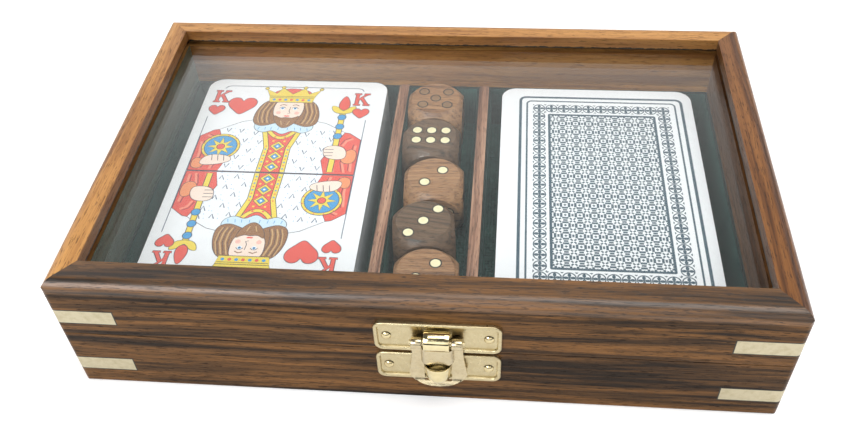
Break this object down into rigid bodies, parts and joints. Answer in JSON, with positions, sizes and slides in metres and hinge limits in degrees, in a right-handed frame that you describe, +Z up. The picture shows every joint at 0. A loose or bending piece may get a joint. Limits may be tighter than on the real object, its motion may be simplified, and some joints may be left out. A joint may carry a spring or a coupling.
{
  "type": "playing card box",
  "caption": "Low hinged rosewood box with a glass-topped lid, brass clasp and corner straps, holding wrapped card decks and wooden dice in felt-lined compartments.",
  "frame": {"origin": "middle of the base's underside, on the flat face that the box rests on", "axes": "+X along the front from left to right, +Y from the clasp towards the hinges, +Z up"},
  "size_m": [0.178, 0.1203, 0.0386],
  "materials": {
    "golden_rosewood": "satin lacquered rosewood, golden brown with fine dark grain",
    "red_rosewood": "satin lacquered rosewood, reddish brown",
    "dark_rosewood": "satin lacquered rosewood, dark brown with streaks",
    "bottom_wood": "plain sanded board",
    "divider_wood": "planed strip, waxed",
    "green_felt": "short-napped dark teal green felt",
    "clear_glass": "clear float glass",
    "strap_brass": "pale brass, brushed and dull",
    "clasp_brass": "pale brass plate, polished",
    "hinge_brass": "yellow brass, polished",
    "card_stack": "stacked card edges",
    "court_card": "printed card, smooth",
    "card_back": "printed card, smooth",
    "clear_wrap": "clear film, tightly drawn",
    "light_die_wood": "oiled, rounded and smooth",
    "dark_die_wood": "oiled, rounded and smooth",
    "pip_brass": "small inlaid discs, matt"
  },
  "bodies": {
    "base": {"base_back_board": "dark_rosewood", "base_front_board": "dark_rosewood", "base_left_board": "dark_rosewood", "base_right_board": "dark_rosewood", "base_strap_back_left": "strap_brass", "base_strap_back_right": "strap_brass", "base_strap_front_left": "strap_brass", "base_strap_front_right": "strap_brass", "bottom_panel": "bottom_wood", "clasp_lower_nails": "clasp_brass", "clasp_lower_plate": "clasp_brass", "die_1": "light_die_wood", "die_1_pips": "pip_brass", "die_2": "dark_die_wood", "die_2_pips": "pip_brass", "die_3": "light_die_wood", "die_3_pips": "pip_brass", "die_4": "dark_die_wood", "die_4_pips": "pip_brass", "die_5": "light_die_wood", "die_5_pips": "pip_brass", "divider_left": "divider_wood", "divider_right": "divider_wood", "felt_lining_left": "green_felt", "felt_lining_middle": "green_felt", "felt_lining_right": "green_felt", "hinge_left_base_leaf": "hinge_brass", "hinge_right_base_leaf": "hinge_brass", "hinge_screws_base": "hinge_brass", "left_deck_cards": "card_stack", "left_deck_top_card": "court_card", "left_deck_wrap": "clear_wrap", "right_deck_cards": "card_stack", "right_deck_top_card": "card_back", "right_deck_wrap": "clear_wrap"},
    "lid": {"clasp_pin": "clasp_brass", "clasp_upper_nails": "clasp_brass", "clasp_upper_plate": "clasp_brass", "hinge_left_lid_leaf": "hinge_brass", "hinge_left_pin": "hinge_brass", "hinge_right_lid_leaf": "hinge_brass", "hinge_right_pin": "hinge_brass", "hinge_screws_lid": "hinge_brass", "lid_back_rail": "golden_rosewood", "lid_front_rail": "dark_rosewood", "lid_glass": "clear_glass", "lid_left_rail": "golden_rosewood", "lid_right_rail": "red_rosewood", "lid_strap_back_left": "strap_brass", "lid_strap_back_right": "strap_brass", "lid_strap_front_left": "strap_brass", "lid_strap_front_right": "strap_brass"},
    "hasp": {"clasp_hasp": "clasp_brass"}
  },
  "joints": [
    {"name": "lid_hinge", "type": "hinge", "parent": "base", "child": "lid", "pos_m": [0, 0.0579, 0.0203], "axis": [-1, 0, 0], "range_deg": [0, 160]},
    {"name": "hasp_hinge", "type": "hinge", "parent": "lid", "child": "hasp", "pos_m": [0.0052, -0.0587, 0.0266], "axis": [-1, 0, 0], "range_deg": [0, 110]}
  ]
}
